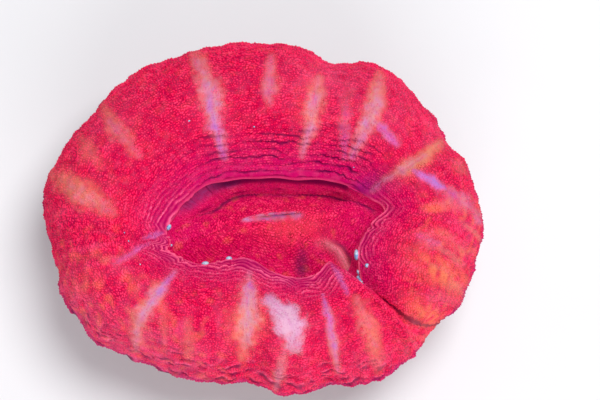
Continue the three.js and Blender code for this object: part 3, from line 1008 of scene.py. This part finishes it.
# A colour of sRGB bytes as the linear values that a shader takes
def tint(red, green, blue):
    shades = [value / 255 for value in (red, green, blue)]
    return (*(s / 12.92 if s <= 0.04045 else ((s + 0.055) / 1.055) ** 2.4 for s in shades), 1.0)


# Colours of the living skin on the mantle, and those that differ in the hollow
mantleColours = {
    # CrownHighlight: painted highlight on the tops of the granules
    "Border": tint(168, 0, 60), "Bead": tint(230, 2, 68), "CrownHighlight": tint(246, 62, 116),
    # Rim: darker magenta towards the hollow, partly the skin's own tone and partly painted shade
    "Rim": tint(176, 2, 96), "Pink": tint(212, 84, 124), "Orange": tint(226, 120, 84),
    "Lavender": tint(148, 112, 190), "Beige": tint(176, 132, 150), "Yellow": tint(194, 136, 104),
    # Line: bright crests and ridges, partly paler tissue and partly painted highlight, and painted
    # highlight on granule tops
    "White": tint(200, 152, 176), "Line": tint(255, 104, 146), "Under": tint(122, 18, 104),
    # Crease: painted shade, laid dark into folds, grooves, gaps, the cleft and the mouth slit
    "Crease": tint(58, 0, 50),
# Under: painted violet shade on undersides, in valleys and on the hollow's walls
}
discColours = {
    # Rim: the hollow's darker magenta, partly own tone and partly painted shade
    "Border": tint(160, 0, 64), "Bead": tint(228, 12, 82), "Rim": tint(190, 6, 92),
    # Under here is painted shade in the valley and at the back wall's foot
    "Pink": tint(226, 76, 96), "Orange": tint(222, 106, 62), "Under": tint(92, 40, 96),
}
mantleSkin = {"grains": 4.2, "patches": (1.4, 0.44, 0.66), "colours": mantleColours}
discSkin = {"grains": 5.0, "patches": (1.6, 0.46, 0.68), "colours": discColours}


# Colour of the living skin: one coat over another, each where its field of the mesh is strong
def buildFleshGroup():
    inputs = {"Grain": 0.5, "Patches": 0.5, **mantleColours}
    group, given, result = newGroup("flesh colour", inputs, {"Colour": "NodeSocketColor"})
    colours = given.outputs
    grains = sums(group, "MULTIPLY", colours["Grain"], 0.1)
    patches = sums(group, "MULTIPLY", colours["Patches"], 0.14)
    bead = sums(group, "ADD", field(group, "bead", 0.9), grains)
    milk = sums(group, "ADD", field(group, "veil", 0.58), patches)
    cool = mixColour(group, field(group, "warmth", 2.0), colours["Lavender"], colours["Beige"])
    warmer = sums(group, "MULTIPLY", sums(group, "SUBTRACT", field(group, "warmth"), 0.5), 2.0)
    coats = [
        (eased(group, bead, 0.0, 0.55), colours["Bead"]),
        # Painted highlight on granule crowns
        (sums(group, "SUBTRACT", bead, 0.3), colours["CrownHighlight"]),
        # Darker towards the hollow: partly own tone, partly painted shade
        (field(group, "rim", 0.6), colours["Rim"]),
        (milk, colours["Pink"]),
        (field(group, "flush", 0.86), colours["Orange"]),
        (field(group, "stretch", 0.85), mixColour(group, warmer, cool, colours["Yellow"])),
        (field(group, "white"), colours["White"]),
        # Bright crests: partly paler tissue, partly painted highlight
        (field(group, "line", 0.9), colours["Line"]),
        # Painted violet shade
        (field(group, "under", 0.8), colours["Under"]),
        # Painted shade in the creases, laid over everything
        (field(group, "crease", 0.85), colours["Crease"]),
    ]
    colour = colours["Border"]
    for mask, coat in coats:
        colour = mixColour(group, mask, colour, coat)
    feed(group, result, {"Colour": colour})
    return group


flesh = buildFleshGroup()


def newMaterial(name, **inputs):
    material = bpy.data.materials.new(name)
    material.use_nodes = True
    shader = material.node_tree.nodes["Principled BSDF"]
    feed(material.node_tree, shader, {key.replace("_", " "): value for key, value in inputs.items()})
    return material, material.node_tree, shader


def bumpFrom(tree, height, strength, distance):
    inputs = {"Height": height, "Strength": strength, "Distance": distance}
    return addNode(tree, "ShaderNodeBump", inputs).outputs["Normal"]


def placeMottle(tree, perMm, low, high):
    return useGroup(tree, mottle, {"Patches per mm": perMm, "Low": low, "High": high}).outputs["Mask"]


def fleshMaterial(name, look):
    # The skin glows in its own colour: painted light that evens out its shading
    material, tree, shader = newMaterial(name, Specular_IOR_Level=0.04, Emission_Strength=0.28)
    fine = useGroup(tree, grain, {"Grains per mm": look["grains"], "Softness": 0.25})
    inputs = {"Grain": fine.outputs["Mask"], "Patches": placeMottle(tree, *look["patches"])}
    colour = useGroup(tree, flesh, {**inputs, **look["colours"]}).outputs["Colour"]
    inputs = {"Value": fine.outputs["Mask"], "To Min": 0.62, "To Max": 0.42}
    rough = addNode(tree, "ShaderNodeMapRange", inputs)
    feed(tree, shader, {
        "Base Color": colour,
        "Emission Color": colour,
        "Roughness": rough.outputs["Result"],
        "Normal": bumpFrom(tree, fine.outputs["Height"], 0.35, 0.05 * mm),
    })
    return material


stonyCup = {"pale": tint(222, 206, 186), "stain": tint(150, 112, 96), "pore": tint(92, 66, 62)}


def cupMaterial(colours):
    material, tree, shader = newMaterial("bare skeleton", Roughness=0.85, Specular_IOR_Level=0.2)
    fine = useGroup(tree, grain, {"Grains per mm": 4.0, "Softness": 0.1})
    pores = sums(tree, "MULTIPLY", sums(tree, "SUBTRACT", 1.0, fine.outputs["Mask"]), 0.35)
    colour = mixColour(tree, placeMottle(tree, 0.35, 0.4, 0.7), colours["pale"], colours["stain"])
    # Painted shade: the grooves between the costae take the pore colour
    colour = mixColour(tree, field(tree, "crease", 0.6), colour, colours["pore"])
    colour = mixColour(tree, pores, colour, colours["pore"])
    normal = bumpFrom(tree, fine.outputs["Height"], 0.6, 0.1 * mm)
    feed(tree, shader, {"Base Color": colour, "Normal": normal})
    return material


# Pearly tentacle tips: rib, distance out from the lip, radius and half height in millimetres,
# and how far each is drawn out along the lip
tips = {
    "material": "pearly tip",
    "roughness": 0.3,
    "places": [
        (12.8, 0.0, 0.22, 0.34, 1.5), (13.5, -0.1, 0.16, 0.24, 1.0), (14.2, -0.3, 0.15, 0.24, 1.2),
        (17.5, 0.0, 0.26, 0.26, 1.5), (18.9, -0.05, 0.25, 0.24, 1.3),
        (27.5, -0.15, 0.26, 0.42, 2.2), (27.0, 1.4, 0.22, 0.22, 1.0), (26.7, -0.3, 0.16, 0.34, 1.6),
        (26.35, -0.1, 0.30, 0.30, 1.3), (26.1, 0.2, 0.34, 0.28, 1.4), (26.5, -0.5, 0.22, 0.26, 1.0),
        (25.9, 0.6, 0.24, 0.2, 1.3), (26.0, -0.4, 0.24, 0.2, 1.0),
    ],
}

# Pale specks caught on the skin, in the same form
specks = {
    "material": "pale speck",
    "roughness": 0.6,
    "places": [
        (7.3, 5.8, 0.08, 0.08, 1.0), (9.2, 7.0, 0.07, 0.07, 1.6), (14.2, 5.4, 0.08, 0.08, 1.0),
        (14.8, 5.2, 0.07, 0.10, 1.5), (16.1, 5.2, 0.08, 0.08, 1.0), (27.0, 1.6, 0.08, 0.08, 1.0),
        (3.2, 2.6, 0.06, 0.06, 1.0),
    ],
}

pearl = {"pale": tint(190, 214, 232), "blue": tint(112, 160, 214)}


# A closed bulb of rings, from its top to its bottom
def bulb(centre, radius, length, drawn, across=10, levels=7):
    angle = 2 * math.pi * np.arange(across)[:, None] / across
    aside = np.array([-drawn[1], drawn[0], 0]) / max(np.linalg.norm(drawn), 1.0)
    ring = np.cos(angle) * drawn + np.sin(angle) * aside
    rings = []
    for level in range(levels + 1):
        tilt = math.pi * level / levels
        points = centre + ring * radius * math.sin(tilt) + (0, 0, length * math.cos(tilt))
        rings.append(points if 0 < level < levels else points[:1])
    return np.concatenate(rings), np.concatenate(skinStrips([len(points) for points in rings]))


def bulbMesh(name, mantle, places):
    points, faces, total = [], [], 0
    for rib, out, radius, length, drawnOut in places:
        column = np.array([rib * mantle.shape[1] / len(ribs)])
        line = sampleGrid(mantle, np.arange(len(mantle) - 1), np.repeat(column, len(mantle) - 1))
        reach = np.concatenate([[0.0], np.cumsum(lengthOf(np.diff(line, axis=0)))])
        centre = np.array([np.interp(max(out, 0.0), reach, line[:, axis]) for axis in range(3)])
        inward = (line[0] - line[6]) / np.linalg.norm(line[0] - line[6])
        centre += inward * max(-out, 0.0) + (0, 0, 0.4 * length * (out >= 0))
        ends = sampleGrid(mantle, np.array([1.0, 1.0]), column + np.array([-3, 3]))
        alongLip = (ends[1] - ends[0]) * (1, 1, 0)
        shape, sides = bulb(centre, radius, length, alongLip / np.linalg.norm(alongLip) * drawnOut)
        points.append(shape)
        faces.append(sides + total)
        total += len(shape)
    return newMesh(name, np.concatenate(points), np.concatenate(faces), {})


def pearlMaterial(name, roughness):
    material, tree, shader = newMaterial(name, Roughness=roughness, Specular_IOR_Level=0.5)
    cloud = placeMottle(tree, 3.0, 0.35, 0.65)
    feed(tree, shader, {"Base Color": mixColour(tree, cloud, pearl["pale"], pearl["blue"])})
    return material


def addObject(name, data):
    added = bpy.data.objects.new(name, data)
    bpy.context.collection.objects.link(added)
    return added


def addPiece(name, mesh, *materials):
    piece = addObject(name, mesh)
    for material in materials:
        mesh.materials.append(material)
    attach(piece, "root")
    return piece


# One layer of the skin and the first rings of the next, as one grid with its fields
def joinLayers(first, second, rings):
    fields = {}
    for key in fieldNames:
        fields[key] = np.concatenate([first["fields"][key], second["fields"][key][:rings]])
    return np.concatenate([first["grid"], second["grid"][:rings]]), fields


def buildGranules(layers, mantleLook, discLook):
    random = np.random.default_rng(granules["seed"])
    back, right = granules["backFrom"], granules["rightFrom"]
    thirds = {
        "back_granules": lambda x, y, z: y >= back,
        "left_granules": lambda x, y, z: (y < back) & (x < right),
        "right_granules": lambda x, y, z: (y < back) & (x >= right),
    }
    skinGrid = joinLayers(layers["mantle"], layers["hem"], granules["hemRings"])
    for name, keep in thirds.items():
        addPiece(name, granuleMesh(name, *skinGrid, granules["mantle"], random, keep), mantleLook)
    hollow = joinLayers(layers["disc"], layers["wall"], granules["wallRings"])
    addPiece("disc_granules", granuleMesh("disc_granules", *hollow, granules["disc"], random), discLook)


def buildPolyp():
    layers = sculpt()
    mantleLook = fleshMaterial("mantle skin", mantleSkin)
    discLook = fleshMaterial("disc skin", discSkin)
    polypFlesh = addPiece("polyp_flesh", polypMesh(layers), mantleLook, discLook, cupMaterial(stonyCup))
    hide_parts("polyp")
    buildGranules(layers, mantleLook, discLook)
    for name, look in (("tentacle_tips", tips), ("pale_specks", specks)):
        mesh = bulbMesh(name, layers["mantle"]["grid"], look["places"])
        addPiece(name, mesh, pearlMaterial(look["material"], look["roughness"]))
    print("polyp built")


buildPolyp()

studio = {
    "floorSize": 3.0, "floor": (0.82, 0.82, 0.84), "floorShade": 0.97,
    "sky": (0.95, 0.97, 1.0, 1.0), "skyStrength": 0.35,
    "target": (3.75, 1.75, 11.0), "elevation": 76.0, "distance": 250.0, "frameWidth": 60.0,
    "sensor": 36.0,
    "key light": {"place": (0.10, 0.05, 0.42), "size": 0.20, "power": 1.36},
    "fill light": {"place": (0.06, -0.40, 0.26), "size": 0.40, "power": 1.15},
    "lightAim": (0, 0, 0.012),
}


def buildFloor():
    half = studio["floorSize"] / 2
    mesh = bpy.data.meshes.new("floor")
    corners = [(-half, -half, 0), (half, -half, 0), (half, half, 0), (-half, half, 0)]
    mesh.from_pydata(corners, [], [(0, 1, 2, 3)])
    floor = addObject("floor", mesh)
    material, tree, shader = newMaterial("pale floor", Roughness=0.9)
    pale = studio["floor"]
    shade = tuple(studio["floorShade"] * part for part in pale)
    cloud = placeMottle(tree, 0.02, 0.3, 0.7)
    feed(tree, shader, {"Base Color": mixColour(tree, cloud, (*pale, 1.0), (*shade, 1.0))})
    mesh.materials.append(material)


def aimFrom(item, place, target):
    item.location = place
    item.rotation_euler = (target - place).to_track_quat("-Z", "Y").to_euler()


def buildLight(name):
    values = studio[name]
    light = bpy.data.lights.new(name, "AREA")
    light.shape = "DISK"
    light.size = values["size"]
    light.energy = values["power"]
    aimFrom(addObject(name, light), Vector(values["place"]), Vector(studio["lightAim"]))


def buildSky():
    world = bpy.data.worlds.new("studio")
    world.use_nodes = True
    background = world.node_tree.nodes["Background"]
    background.inputs["Color"].default_value = studio["sky"]
    background.inputs["Strength"].default_value = studio["skyStrength"]
    bpy.context.scene.world = world


def buildCamera():
    camera = bpy.data.cameras.new("camera")
    camera.sensor_width = studio["sensor"]
    camera.lens = studio["sensor"] * studio["distance"] / studio["frameWidth"]
    camera.clip_start = 0.01
    view = addObject("camera", camera)
    tilt = math.radians(studio["elevation"])
    target = Vector(studio["target"]) * mm
    aimFrom(view, target + Vector((0, -math.cos(tilt), math.sin(tilt))) * studio["distance"] * mm, target)
    bpy.context.scene.camera = view


buildFloor()
buildLight("key light")
buildLight("fill light")
buildSky()
buildCamera()
bpy.context.scene.view_settings.view_transform = "Standard"
print("studio built")
